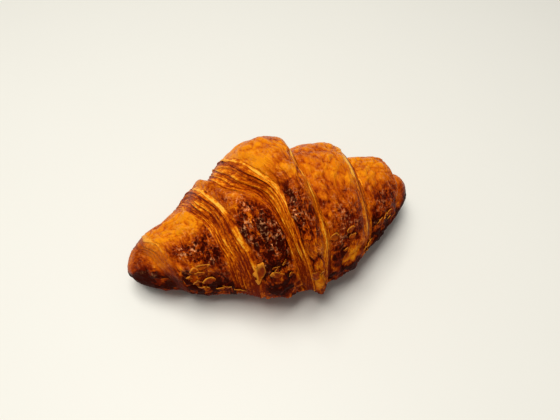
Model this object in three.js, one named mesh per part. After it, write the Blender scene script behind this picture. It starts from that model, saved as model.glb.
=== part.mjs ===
// A butter croissant, resting on its base.
//
// The dough is one long triangle, wound up from its broad end to its point. The roll is a spindle, and
// the two long edges of the sheet run round it as helices, from the point of the tail out to the ends.
// Along each edge the cut face of the layered dough slopes down to the turn below as a band.
//
// Millimetres, +Z up, the length along X, the tail's point at the front (-Y).
// A place on the roll is an x and an angle round it: 0 is straight down, 90 the front, 180 the top.
// A turn is counted from the tail's point, so turn 1 is the layer below it at the same angle.

import * as THREE from 'three';

// The spindle that the turns add up to.
const LENGTH = 150;
const CROWN_RADIUS = 39.5;
const CROWN_X = 4.4;
const LEFT_END_RADIUS = 7.4;
const RIGHT_END_RADIUS = 8.8;
const END_CAP = 8;
const SHOULDER_POWER = 1.85;
const FLANK_POWER = 1.08;

// How the roll sits: it sags over its flat base, and its ends bend back and stand a little off it.
const WIDTH_RATIO = 0.97;
const TOP_RATIO = 0.84;
const UNDER_RATIO = 0.70;
const AXIS_LOW = 3.5;
const AXIS_RISE = 0.5;
const LEFT_BEND = 2.8;
const RIGHT_BEND = 4.3;
const LEFT_LIFT = 6.0;
const RIGHT_LIFT = 9.1;

// The tail's point, in degrees round from straight down, and the turns over which it rises.
const TAIL_ANGLE = 66;
const TAIL_RAMP = 0.03;
const TURNS = 3;

// The sheet's edges as [turn, millimetres]: where each lip lies along X.
const LEFT_LIP = [
  [0, 6.5], [0.2, 0.7], [0.28, -1.5], [0.35, -9], [0.45, -15.5], [1.05, -16.5], [1.24, -22.5],
  [1.37, -30.5], [1.5, -35.5], [2.1, -50], [2.25, -54.5], [2.37, -61], [2.7, -65.5], [3, -68],
];
const RIGHT_LIP = [
  [0, 10.5], [0.12, 9.5], [0.2, 11], [0.35, 10.5], [0.5, 13], [1, 30], [1.1, 32.5], [1.3, 35.5],
  [1.4, 38], [1.7, 46.5], [2.1, 54], [2.16, 59], [2.25, 62], [2.6, 65], [3, 68],
];
// How wide the cut face below each lip is.
const LEFT_BAND = [
  [0, 4.5], [0.2, 5], [0.28, 8], [0.35, 13], [0.45, 12.5], [1.1, 12], [1.2, 10], [1.5, 11],
  [2.1, 5], [2.2, 8], [3, 6],
];
const RIGHT_BAND = [[0, 3], [0.15, 4.5], [0.25, 3], [0.5, 3.5], [1.1, 7], [1.4, 6], [2, 3], [3, 2]];
// How far the surface drops across it.
const LEFT_STEP = [
  [0, 6], [0.2, 4.5], [0.35, 5.6], [0.5, 6.1], [1, 5], [1.3, 4], [1.5, 4.9], [2, 3.5], [2.4, 3.1],
  [3, 0],
];
const RIGHT_STEP = [
  [0, 6], [0.2, 4], [0.4, 6.5], [1, 4.5], [1.3, 6.2], [1.5, 6.2], [2, 3.5], [2.4, 7.6], [3, 0],
];
// How far each turn puffs out, or sinks in, between its own lip and the band that covers it.
const LEFT_PUFF = [[0, 2.8], [0.5, 2.8], [1, 1.4], [1.5, 1.4], [2, -1.8], [2.5, -1.8], [3, 0]];
const RIGHT_PUFF = [[0, 2.8], [0.5, 2.8], [1, 0], [1.5, 0], [2, -0.6], [2.5, -0.6], [3, 0]];
// How far each lip is rounded off, and over what length of the skin inside it.
const LEFT_ROUNDING = 1.3;
const RIGHT_ROUNDING = 2.2;
const LIP_ROUND = 2.6;
// A step dies away over these lengths, on the skin above its lip and on the turn below its band.
const FADE_ABOVE = 9;
const FADE_BELOW = 8;
const THIN_RADIUS = 14;

// How finely the surface is cut. Rings follow the lips over the top and round to the base. From
// FOLLOW_TURN on they move across to the turn that each meets again at the front.
const SECTORS = 60;
const FOLLOW_TURN = 0.75;
const SWAP_TURNS = 0.2;
const END_RINGS = 5;
const SPAN_RINGS = [3, 8, 5, 7, 5, 9, 3, 8, 4, 8, 2];

const CRUST = { color: 0xa8581c, roughness: 0.45, metalness: 0 };

/** A smooth curve through [turn, value] points that never overshoots them. */
function monotoneCurve(points) {
  const gaps = points.slice(1).map((p, i) => p[0] - points[i][0]);
  const slopes = points.slice(1).map((p, i) => (p[1] - points[i][1]) / gaps[i]);
  const tangents = points.map((_, i) => {
    if (i === 0) return slopes[0];
    if (i === points.length - 1) return slopes[i - 1];
    if (slopes[i - 1] * slopes[i] <= 0) return 0;
    const before = 2 * gaps[i] + gaps[i - 1];
    const after = gaps[i] + 2 * gaps[i - 1];
    return (before + after) / (before / slopes[i - 1] + after / slopes[i]);
  });
  return (turn) => {
    const t = THREE.MathUtils.clamp(turn, points[0][0], points[points.length - 1][0]);
    let i = 0;
    while (i < gaps.length - 1 && t > points[i + 1][0]) i += 1;
    const s = (t - points[i][0]) / gaps[i];
    const rise = s * s * (3 - 2 * s);
    const leave = gaps[i] * tangents[i] * s * (1 - s) * (1 - s);
    const arrive = gaps[i] * tangents[i + 1] * s * s * (1 - s);
    return points[i][1] * (1 - rise) + points[i + 1][1] * rise + leave - arrive;
  };
}

/** One long edge of the sheet: the way it faces along X, and its curves by turn. */
function sheetEdge(side, lip, band, step, puff, rounding) {
  const [lipAt, bandAt, stepAt, puffAt] = [lip, band, step, puff].map(monotoneCurve);
  return { side, lip: lipAt, band: bandAt, step: stepAt, puff: puffAt, rounding };
}

const EDGES = [
  sheetEdge(-1, LEFT_LIP, LEFT_BAND, LEFT_STEP, LEFT_PUFF, LEFT_ROUNDING),
  sheetEdge(1, RIGHT_LIP, RIGHT_BAND, RIGHT_STEP, RIGHT_PUFF, RIGHT_ROUNDING),
];

/** Rises smoothly from 0 to 1 as s does. */
const ease = (s) => THREE.MathUtils.smoothstep(s, 0, 1);

/** Turns from the tail's point to an angle round the roll, from 0 up to 1. */
const turnAt = (angle) => THREE.MathUtils.euclideanModulo(angle - TAIL_ANGLE, 360) / 360;

/** Radius of the smooth spindle, before its ends are rounded off. */
function spindleRadius(x) {
  const reach = x < CROWN_X ? CROWN_X + LENGTH / 2 : LENGTH / 2 - CROWN_X;
  const end = x < 0 ? LEFT_END_RADIUS : RIGHT_END_RADIUS;
  const along = Math.min(Math.abs(x - CROWN_X) / reach, 1);
  return end + (CROWN_RADIUS - end) * (1 - along ** SHOULDER_POWER) ** FLANK_POWER;
}

/** Rounds off the two ends: 1 along the roll, falling to 0 at its tips. */
function endRounding(x) {
  const s = THREE.MathUtils.clamp((Math.abs(x) - (LENGTH / 2 - END_CAP)) / END_CAP, 0, 1);
  return Math.sqrt(1 - s * s);
}

/** One lip: half a step up on its own skin, half a step down on the turn below, rounded off between. */
function lipHeight(x, edge, turn) {
  const inside = (edge.lip(turn) - x) * edge.side;
  const down = inside / edge.band(turn);
  let shape = ease(1 + down) - 0.5;
  if (inside > 0) shape = 0.5 * Math.exp(-inside / FADE_ABOVE);
  if (down < -1) shape = -0.5 * Math.exp((inside + edge.band(turn)) / FADE_BELOW);
  const fall = THREE.MathUtils.clamp(1 + down, 0, 1) * Math.exp(-Math.max(inside, 0) / LIP_ROUND);
  return edge.step(turn) * shape - edge.rounding * fall;
}

/** A rounded hump between two places along X, 1 at its middle. */
function hump(x, from, to) {
  const s = (2 * x - from - to) / (to - from);
  return Math.max(1 - s * s, 0);
}

/** How far the wound sheet stands out from the smooth spindle. */
function sheetHeight(x, turn) {
  const [left, right] = EDGES;
  const tail = ease(turn / TAIL_RAMP);
  let height = tail * left.puff(turn) * hump(x, left.lip(turn), right.lip(turn));
  height += (1 - tail) * left.puff(turn + 1) * hump(x, left.lip(turn + 1), right.lip(turn + 1));
  for (const edge of EDGES) {
    for (let layer = 0; layer < TURNS; layer += 1) {
      const here = turn + layer;
      const shown = layer === 0 ? tail : 1;
      height += shown * lipHeight(x, edge, here);
      if (layer === 0) continue;
      const covered = edge.lip(here - 1) + edge.side * edge.band(here - 1);
      const open = layer === 1 ? tail : 1;
      height += open * edge.puff(here) * hump(x, edge.lip(here), covered);
    }
  }
  return height;
}

/** The point of the surface at x, at an angle in degrees round the roll. */
function surfacePoint(x, angle) {
  const spindle = spindleRadius(x);
  const thin = Math.min(spindle / THIN_RADIUS, 1);
  const radius = (spindle + thin * sheetHeight(x, turnAt(angle))) * endRounding(x);
  const along = Math.abs(2 * x / LENGTH);
  const bend = (x < 0 ? LEFT_BEND : RIGHT_BEND) * along ** 2;
  const lift = (x < 0 ? LEFT_LIFT : RIGHT_LIFT) * along ** 3;
  const down = Math.cos(THREE.MathUtils.degToRad(angle));
  const front = Math.sin(THREE.MathUtils.degToRad(angle));
  const y = bend - WIDTH_RATIO * radius * front;
  const z = AXIS_LOW + AXIS_RISE * radius + lift - (down < 0 ? TOP_RATIO : UNDER_RATIO) * radius * down;
  return new THREE.Vector3(x, y, Math.max(z, 0));
}

/** The lips and the feet of the bands along X, from end to end, at one turn. */
function stations(turn) {
  const [left, right] = EDGES;
  const lefts = [2, 1, 0].flatMap((layer) => {
    const lip = left.lip(turn + layer);
    return [lip - left.band(turn + layer), lip];
  });
  const rights = [0, 1, 2].flatMap((layer) => {
    const lip = right.lip(turn + layer);
    return [lip, lip + right.band(turn + layer)];
  });
  return [...lefts, ...rights];
}

/** The places along X that the rings pass through at an angle, the two tips left out. */
function ringPlaces(angle) {
  const turn = turnAt(angle);
  const swap = ease((turn - FOLLOW_TURN) / SWAP_TURNS);
  const next = stations(turn - 1);
  const marks = stations(turn).map((x, i) => THREE.MathUtils.lerp(x, next[i], swap));
  const tip = LENGTH / 2;
  const places = [];
  for (let i = 1; i < END_RINGS; i += 1) {
    const share = 1 - Math.cos((Math.PI / 2) * (i / END_RINGS));
    places.push(THREE.MathUtils.lerp(-tip, marks[0], share));
  }
  SPAN_RINGS.forEach((rings, span) => {
    for (let i = 0; i < rings; i += 1) {
      places.push(THREE.MathUtils.lerp(marks[span], marks[span + 1], i / rings));
    }
  });
  for (let i = 0; i < END_RINGS; i += 1) {
    const share = Math.sin((Math.PI / 2) * (i / END_RINGS));
    places.push(THREE.MathUtils.lerp(marks[marks.length - 1], tip, share));
  }
  return places;
}

/** The whole roll as one closed mesh: rings between two tips. */
function rollGeometry() {
  const points = [];
  for (let sector = 0; sector < SECTORS; sector += 1) {
    const angle = (360 * sector) / SECTORS;
    for (const x of ringPlaces(angle)) points.push(surfacePoint(x, angle));
  }
  const rings = points.length / SECTORS;
  const leftTip = points.push(surfacePoint(-LENGTH / 2, 0)) - 1;
  const rightTip = points.push(surfacePoint(LENGTH / 2, 0)) - 1;

  const faces = [];
  for (let sector = 0; sector < SECTORS; sector += 1) {
    const here = sector * rings;
    const next = ((sector + 1) % SECTORS) * rings;
    faces.push(leftTip, here, next);
    for (let ring = 0; ring < rings - 1; ring += 1) {
      faces.push(here + ring, here + ring + 1, next + ring + 1);
      faces.push(here + ring, next + ring + 1, next + ring);
    }
    faces.push(rightTip, next + rings - 1, here + rings - 1);
  }
  const geometry = new THREE.BufferGeometry().setFromPoints(points);
  geometry.setIndex(faces);
  return geometry;
}

/** Centres a geometry over its footprint, with its base at z = 0. */
function setDown(geometry) {
  geometry.computeBoundingBox();
  const { min, max } = geometry.boundingBox;
  geometry.translate(-(min.x + max.x) / 2, -(min.y + max.y) / 2, -min.z);
  geometry.computeVertexNormals();
  return geometry;
}

const croissant = new THREE.Mesh(setDown(rollGeometry()), new THREE.MeshStandardMaterial(CRUST));
croissant.name = 'croissant';

const part = new THREE.Group();
part.add(croissant);

export default part;
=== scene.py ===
"""A butter croissant on a plain studio floor.

The dough is one long triangle wound into a spindle. Its two long edges run round the roll as helices,
and below each edge the cut face shows the layers of the dough as a band of thin leaves. The crust is
one closed mesh over the whole roll, with lumps, wrinkles and cracks worked into it, and a few thin
flakes lie on it as a second mesh.

Sizes are millimetres and turned into metres as the meshes are placed. An angle round the roll is in
degrees: 0 is straight down, 90 the front (-Y) and 180 the top. A turn is counted from the tail's
point, so that turn 1 is the layer below it at the same angle.
"""

import sys

import logging
import math
import random
from dataclasses import dataclass
from enum import Enum, IntEnum

import bmesh
import bpy
import numpy as np
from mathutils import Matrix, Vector, noise
from mathutils.bvhtree import BVHTree

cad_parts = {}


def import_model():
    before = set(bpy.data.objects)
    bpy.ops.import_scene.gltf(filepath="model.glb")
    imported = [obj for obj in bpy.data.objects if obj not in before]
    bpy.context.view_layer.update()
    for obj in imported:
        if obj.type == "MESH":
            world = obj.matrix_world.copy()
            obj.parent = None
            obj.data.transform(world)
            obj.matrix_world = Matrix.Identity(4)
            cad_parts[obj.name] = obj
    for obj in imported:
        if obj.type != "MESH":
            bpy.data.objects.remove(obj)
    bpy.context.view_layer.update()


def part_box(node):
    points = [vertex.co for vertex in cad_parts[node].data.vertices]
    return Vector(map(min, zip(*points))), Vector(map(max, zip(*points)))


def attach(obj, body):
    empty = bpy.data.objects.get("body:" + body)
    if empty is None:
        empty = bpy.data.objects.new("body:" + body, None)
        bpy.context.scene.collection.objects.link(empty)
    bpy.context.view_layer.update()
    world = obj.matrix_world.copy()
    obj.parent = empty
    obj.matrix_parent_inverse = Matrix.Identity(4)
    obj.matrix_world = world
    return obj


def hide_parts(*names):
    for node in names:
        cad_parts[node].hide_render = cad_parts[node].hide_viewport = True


MM = 0.001
NODE = "croissant"
BODY = "root"
MOST_VERTS = 2**17
OCTAVES = 2
WRINKLE_EDGE = 0.13
CREASE_RIDGE = 0.2

Curve = tuple[tuple[float, float], ...]
Colour = tuple[float, float, float]

log = logging.getLogger("croissant")


# ---------------------------------------------------------------- curves and noise


def ease(s: np.ndarray) -> np.ndarray:
    """Rises smoothly from 0 to 1 as s does."""
    s = np.clip(s, 0.0, 1.0)
    return s * s * (3.0 - 2.0 * s)


def rises(values: np.ndarray, start: float, over: float) -> np.ndarray:
    """Rises smoothly from 0 to 1 as the values pass on from a start over that much."""
    return ease((values - start) / over)


def falls(values: np.ndarray, end: np.ndarray | float, over: float) -> np.ndarray:
    """Falls smoothly from 1 to 0 as the values come up to an end over that much."""
    return ease((end - values) / over)


def smooth_curve(points: Curve, turn: np.ndarray) -> np.ndarray:
    """Reads a smooth curve that passes through its points and never overshoots them.

    Args:
        points: the (turn, value) pairs, in order.
        turn: where to read the curve.

    Returns:
        The values there.
    """
    knots, values = np.array(points, float).T
    gaps = np.diff(knots)
    slopes = np.diff(values) / gaps
    before = 2.0 * gaps[1:] + gaps[:-1]
    after = gaps[1:] + 2.0 * gaps[:-1]
    same_way = slopes[:-1] * slopes[1:] > 0.0
    left = np.where(same_way, slopes[:-1], 1.0)
    right = np.where(same_way, slopes[1:], 1.0)
    inner = np.where(same_way, (before + after) / (before / left + after / right), 0.0)
    tangents = np.concatenate(([slopes[0]], inner, [slopes[-1]]))
    t = np.clip(turn, knots[0], knots[-1])
    i = np.clip(np.searchsorted(knots, t, side="right") - 1, 0, len(gaps) - 1)
    s = (t - knots[i]) / gaps[i]
    rise = s * s * (3.0 - 2.0 * s)
    leave = gaps[i] * tangents[i] * s * (1.0 - s) ** 2
    arrive = gaps[i] * tangents[i + 1] * s * s * (1.0 - s)
    return values[i] * (1.0 - rise) + values[i + 1] * rise + leave - arrive


def hump(x: np.ndarray, start: np.ndarray | float, end: np.ndarray | float) -> np.ndarray:
    """A rounded hump between two places along X, 1 at its middle."""
    s = (2.0 * x - start - end) / (end - start)
    return np.clip(1.0 - s * s, 0.0, 1.0)


class Seed(IntEnum):
    """Which pattern of chance is meant, so that no two lie alike."""

    LUMPS = 1
    PUCKERS = 2
    BLOTCHES = 3
    WRINKLES = 4
    PLATES = 5
    FLAKY = 6
    CREASES = 7
    TORN = 9


def rough_field(points: np.ndarray, size: float, seed: Seed) -> np.ndarray:
    """Fractal noise over a set of points.

    Args:
        points: places in millimetres, one row each.
        size: the width of the largest lumps, in millimetres.
        seed: which pattern.

    Returns:
        One value for each point, mostly between -1 and 1.
    """
    shift = Vector((seed * 7.31, seed * 3.17, seed * 5.53))
    return np.array([noise.fractal(Vector(p) / size + shift, 1.0, 2.0, OCTAVES) for p in points])


def cell_field(points: np.ndarray, size: float, seed: Seed) -> tuple[np.ndarray, np.ndarray]:
    """Irregular cells over a set of points.

    Args:
        points: places in millimetres, one row each.
        size: the width of a cell, in millimetres.
        seed: which pattern.

    Returns:
        Distance from the cell's border, in cell widths, and a number between -1 and 1 that is the same
        all over a cell.
    """
    shift = Vector((seed * 2.71, seed * 8.13, seed * 4.37))
    border, mark = [], []
    for p in points:
        distances, places = noise.voronoi(Vector(p) / size + shift)
        border.append(distances[1] - distances[0])
        mark.append(math.sin(places[0].x * 91.7 + places[0].y * 57.3 + places[0].z * 33.1))
    return np.array(border), np.array(mark)


# ---------------------------------------------------------------- the form of the roll


@dataclass(frozen=True)
class SheetEdge:
    """One long edge of the sheet, wound round the roll.

    Attributes:
        side: -1 for the left edge and 1 for the right one.
        lip: where it runs along X, by turn.
        band: how wide the cut face below it is, by turn.
        step: how far it stands above the turn below, by turn.
        puff: how far the skin between it and its next turn swells, by turn.
        leaves: how many leaves its band shows on each turn.
        rounding: how far its lip is rounded off.
    """

    side: int
    lip: Curve
    band: Curve
    step: Curve
    puff: Curve
    leaves: tuple[int, int, int]
    rounding: float


LEFT_EDGE = SheetEdge(
    side=-1,
    lip=(
        (0, 6.5), (0.2, 0.7), (0.28, -1.5), (0.35, -9), (0.45, -15.5), (1.05, -16.5), (1.24, -22.5),
        (1.37, -30.5), (1.5, -35.5), (2.1, -50), (2.25, -54.5), (2.37, -61), (2.7, -65.5), (3, -68),
    ),
    band=(
        (0, 4.5), (0.2, 5), (0.28, 8), (0.35, 13), (0.45, 12.5), (1.1, 12), (1.2, 10), (1.5, 11),
        (2.1, 5), (2.2, 8), (3, 6),
    ),
    step=(
        (0, 6), (0.2, 4.5), (0.35, 5.6), (0.5, 6.1), (1, 5), (1.3, 4), (1.5, 4.9), (2, 3.5), (2.4, 3.1),
        (3, 0),
    ),
    puff=((0, 2.8), (0.5, 2.8), (1, 1.4), (1.5, 1.4), (2, -1.8), (2.5, -1.8), (3, 0)),
    leaves=(8, 8, 5),
    rounding=1.3,
)
RIGHT_EDGE = SheetEdge(
    side=1,
    lip=(
        (0, 10.5), (0.12, 9.5), (0.2, 11), (0.35, 10.5), (0.5, 13), (1, 30), (1.1, 32.5), (1.3, 35.5),
        (1.4, 38), (1.7, 46.5), (2.1, 54), (2.16, 59), (2.25, 62), (2.6, 65), (3, 68),
    ),
    band=((0, 3), (0.15, 4.5), (0.25, 3), (0.5, 3.5), (1.1, 7), (1.4, 6), (2, 3), (3, 2)),
    step=(
        (0, 6), (0.2, 4), (0.4, 6.5), (1, 4.5), (1.3, 6.2), (1.5, 6.2), (2, 3.5), (2.4, 7.6), (3, 0),
    ),
    puff=((0, 2.8), (0.5, 2.8), (1, 0), (1.5, 0), (2, -0.6), (2.5, -0.6), (3, 0)),
    leaves=(3, 4, 2),
    rounding=2.2,
)


@dataclass(frozen=True)
class Dough:
    """The smooth form of the wound sheet, before it puckers and browns.

    Radii, bends, lifts and fades are millimetres, and the ratios squash the round section.
    """

    length: float = 150.0
    crown_radius: float = 39.5
    crown_x: float = 4.4
    left_end_radius: float = 7.4
    right_end_radius: float = 8.8
    end_cap: float = 8.0
    shoulder_power: float = 1.85
    flank_power: float = 1.08
    width_ratio: float = 0.97
    top_ratio: float = 0.84
    under_ratio: float = 0.70
    axis_low: float = 3.5
    axis_rise: float = 0.5
    left_bend: float = 2.8
    right_bend: float = 4.3
    left_lift: float = 6.0
    right_lift: float = 9.1
    tail_angle: float = 66.0
    tail_ramp: float = 0.03
    fade_above: float = 9.0
    fade_below: float = 8.0
    lip_round: float = 2.6
    thin_radius: float = 14.0
    edges: tuple[SheetEdge, SheetEdge] = (LEFT_EDGE, RIGHT_EDGE)

    def turn_at(self, angle: np.ndarray) -> np.ndarray:
        """Turns from the tail's point to an angle round the roll, from 0 up to 1."""
        return np.mod(angle - self.tail_angle, 360.0) / 360.0

    def spindle_radius(self, x: np.ndarray) -> np.ndarray:
        """The radius of the smooth spindle, before its ends are rounded off.

        Args:
            x: places along the roll.

        Returns:
            The radius at each.
        """
        half = self.length / 2
        reach = np.where(x < self.crown_x, self.crown_x + half, half - self.crown_x)
        end = np.where(x < 0, self.left_end_radius, self.right_end_radius)
        along = np.clip(np.abs(x - self.crown_x) / reach, 0, 1)
        return end + (self.crown_radius - end) * (1 - along**self.shoulder_power) ** self.flank_power

    def end_rounding(self, x: np.ndarray) -> np.ndarray:
        """Rounds off the two ends: 1 along the roll, falling to 0 at its tips."""
        s = np.clip((np.abs(x) - (self.length / 2 - self.end_cap)) / self.end_cap, 0, 1)
        return np.sqrt(1 - s * s)

    def lip_height(self, x: np.ndarray, edge: SheetEdge, turn: np.ndarray) -> np.ndarray:
        """Shapes one lip: half a step up on its own skin, half a step down on the turn below.

        Args:
            x: places along the roll.
            edge: the edge that the lip belongs to.
            turn: turns from the tail's point.

        Returns:
            How far the lip lifts or lowers each place.
        """
        inside = (smooth_curve(edge.lip, turn) - x) * edge.side
        band = smooth_curve(edge.band, turn)
        above = 0.5 * np.exp(-np.maximum(inside, 0) / self.fade_above)
        below = -0.5 * np.exp(np.minimum(inside + band, 0) / self.fade_below)
        face = ease(1 + inside / band) - 0.5
        shape = np.where(inside > 0, above, np.where(inside < -band, below, face))
        fall = np.clip(1 + inside / band, 0, 1) * np.exp(-np.maximum(inside, 0) / self.lip_round)
        return smooth_curve(edge.step, turn) * shape - edge.rounding * fall

    def sheet_height(self, x: np.ndarray, turn: np.ndarray) -> np.ndarray:
        """Adds up the lips and the puffed skin between them.

        Args:
            x: places along the roll.
            turn: turns from the tail's point, from 0 up to 1.

        Returns:
            How far the wound sheet stands out from the smooth spindle.
        """
        left, right = self.edges
        tail = ease(turn / self.tail_ramp)
        height = np.zeros_like(x)
        for layer, shown in ((0, tail), (1, 1 - tail)):
            here = turn + layer
            ends = smooth_curve(left.lip, here), smooth_curve(right.lip, here)
            height += shown * smooth_curve(left.puff, here) * hump(x, *ends)
        for edge in self.edges:
            for layer, shown, opened in ((0, tail, 0), (1, 1, tail), (2, 1, 1)):
                here = turn + layer
                height += shown * self.lip_height(x, edge, here)
                cover = here - 1
                covered = smooth_curve(edge.lip, cover) + edge.side * smooth_curve(edge.band, cover)
                bulge = hump(x, smooth_curve(edge.lip, here), covered)
                height += opened * smooth_curve(edge.puff, here) * bulge
        return height

    def surface(self, x: np.ndarray, angle: np.ndarray) -> np.ndarray:
        """The points of the surface.

        Args:
            x: places along the roll.
            angle: angles round it, in degrees.

        Returns:
            One row of x, y and z for each, in millimetres.
        """
        spindle = self.spindle_radius(x)
        thin = np.clip(spindle / self.thin_radius, 0, 1)
        radius = (spindle + thin * self.sheet_height(x, self.turn_at(angle))) * self.end_rounding(x)
        along = np.abs(2 * x / self.length)
        bend = np.where(x < 0, self.left_bend, self.right_bend) * along**2
        lift = np.where(x < 0, self.left_lift, self.right_lift) * along**3
        down, front = np.cos(np.radians(angle)), np.sin(np.radians(angle))
        sag = np.where(down < 0, self.top_ratio, self.under_ratio)
        y = bend - self.width_ratio * radius * front
        z = self.axis_low + self.axis_rise * radius + lift - sag * radius * down
        return np.stack([x, y, z], -1)

    def stations(self, turn: np.ndarray) -> np.ndarray:
        """Lists the feet of the bands and the lips from end to end.

        Args:
            turn: turns from the tail's point, one for each sector.

        Returns:
            Their places along X, one row for each turn.
        """
        left, right = self.edges
        columns = []
        for layer in (2, 1, 0):
            lip = smooth_curve(left.lip, turn + layer)
            columns += [lip - smooth_curve(left.band, turn + layer), lip]
        for layer in (0, 1, 2):
            lip = smooth_curve(right.lip, turn + layer)
            columns += [lip, lip + smooth_curve(right.band, turn + layer)]
        half = np.full_like(turn, self.length / 2)
        return np.stack([-half, *columns, half], -1)


# ---------------------------------------------------------------- the crust's mesh


class Strip(Enum):
    """What lies between two neighbouring stations."""

    END = "end"
    SKIN = "skin"
    CUT = "cut"


@dataclass(frozen=True)
class Ring:
    """One line of vertices round the roll, between two stations.

    Attributes:
        span: the number of the strip that it lies on.
        share: how far across the strip, or on a band which side its lip is, 0 for left.
        strip: what the strip is.
        leaf: its leaf's number, counted from the lip.
        part: how far down its leaf, from 0 to 1.
        leaves: how many leaves its band has.
    """

    span: int
    share: float
    strip: Strip
    leaf: int = 0
    part: float = 0.0
    leaves: int = 1


@dataclass
class RingPlan:
    """Where the crust's rings run: even over the skin, and four to each leaf of a band."""

    end_rings: int = 22
    skin_rings: tuple[int, ...] = (44, 38, 54, 40, 42)
    leaf_profile: tuple[float, ...] = (0.04, 0.36, 0.70, 0.98)

    def rings(self, edges: tuple[SheetEdge, SheetEdge]) -> list[Ring]:
        """Lists the rings from the left tip to the right one.

        Args:
            edges: the sheet's two edges, which say how many leaves each band has.

        Returns:
            The rings in order, without the tips themselves.
        """
        left, right = edges
        leaves = [*reversed(left.leaves), *right.leaves]
        made = [
            Ring(0, 1 - math.cos(math.pi / 2 * i / self.end_rings), Strip.END)
            for i in range(1, self.end_rings)
        ]
        for band in range(len(leaves)):
            outwards = band >= len(left.leaves)
            made += self.cut_rings(2 * band + 1, leaves[band], outwards)
            if band < len(self.skin_rings):
                count = self.skin_rings[band]
                made += [Ring(2 * band + 2, (i + 0.5) / count, Strip.SKIN) for i in range(count)]
        last = 2 * len(leaves)
        made += [
            Ring(last, math.sin(math.pi / 2 * i / self.end_rings), Strip.END)
            for i in range(1, self.end_rings)
        ]
        return made

    def cut_rings(self, span: int, leaves: int, outwards: bool) -> list[Ring]:
        """Lists the rings across one band.

        Args:
            span: the band's number among the strips.
            leaves: how many leaves it has.
            outwards: whether it faces the right end.

        Returns:
            Its rings from left to right, each with its leaf counted from the lip down.
        """
        flip = 0.0 if outwards else 1.0
        made = [
            Ring(span, flip, Strip.CUT, leaf, part, leaves)
            for leaf in range(leaves)
            for part in self.leaf_profile
        ]
        return made if outwards else made[::-1]


@dataclass(frozen=True)
class BakedSpot:
    """A place that baked darker than the rest and fades away round it.

    Attributes:
        x: where it is along the roll.
        angle: where it is round the roll.
        wide: how far it reaches along the roll.
        tall: how far it reaches round it, in degrees.
    """

    x: float
    angle: float
    wide: float
    tall: float

    def strength(self, x: np.ndarray, angle: np.ndarray) -> np.ndarray:
        """Falls from 1 in its middle to 0 away from it."""
        return np.exp(-(((x - self.x) / self.wide) ** 2) - ((angle - self.angle) / self.tall) ** 2)


BAKED_SPOTS = (
    BakedSpot(-40, 144, 10, 20),
    BakedSpot(-11, 138, 10, 28),
    BakedSpot(3, 142, 6, 18),
    BakedSpot(25, 122, 8, 20),
    BakedSpot(50, 124, 8, 26),
)


@dataclass
class Patch:
    """Where every vertex of the crust's mesh lies, before the relief is worked in.

    Attributes:
        x: its place along the roll.
        angle: its place round the roll.
        leaf: leaves counted down its band from the lip.
        cut: 1 on a band and 0 on the skin.
        swapped: how far its ring has moved across to another turn, from 0 to 1.
        span: which strip it lies on, counted from the left tip.
        share: how far across the strip it lies, from 0 to 1.
        width: how wide the strip is there.
        lane: its ring's usual x.
    """

    x: np.ndarray
    angle: np.ndarray
    leaf: np.ndarray
    cut: np.ndarray
    swapped: np.ndarray
    span: np.ndarray
    share: np.ndarray
    width: np.ndarray
    lane: np.ndarray


@dataclass
class Zones:
    """How far each vertex is one thing or another, from 0 to 1 where nothing else is said.

    Attributes:
        skin: off the bands.
        lobe: on the skin between two bands.
        top: over the top.
        low: down by the base, at the front or the back.
        tips: towards an end.
        seen: round the front and over the top.
        baked: browned darkest.
        open: how far its band's leaves stand apart.
        below: degrees down from where the front turns under.
        puckers: lumps a few millimetres across, from -1 to 1.
        blotches: wide patches, from -1 to 1.
    """

    skin: np.ndarray
    lobe: np.ndarray
    top: np.ndarray
    low: np.ndarray
    tips: np.ndarray
    seen: np.ndarray
    baked: np.ndarray
    open: np.ndarray
    below: np.ndarray
    puckers: np.ndarray
    blotches: np.ndarray


@dataclass
class Marks:
    """The fine marks in the skin at each vertex.

    Attributes:
        wrinkles: distance from a fine wrinkle.
        creases: distance from a long crease.
        flaky: how far the skin has come apart into plates, from 0 to 1.
        plate: a number between -1 and 1, the same all over a plate.
        rim: how near a plate's edge, from 0 to 1.
        tongue: how far across the tail's tongue of skin, 1 at its middle.
        split: the crack across the tongue, 1 at its bottom.
    """

    wrinkles: np.ndarray
    creases: np.ndarray
    flaky: np.ndarray
    plate: np.ndarray
    rim: np.ndarray
    tongue: np.ndarray
    split: np.ndarray


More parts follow.
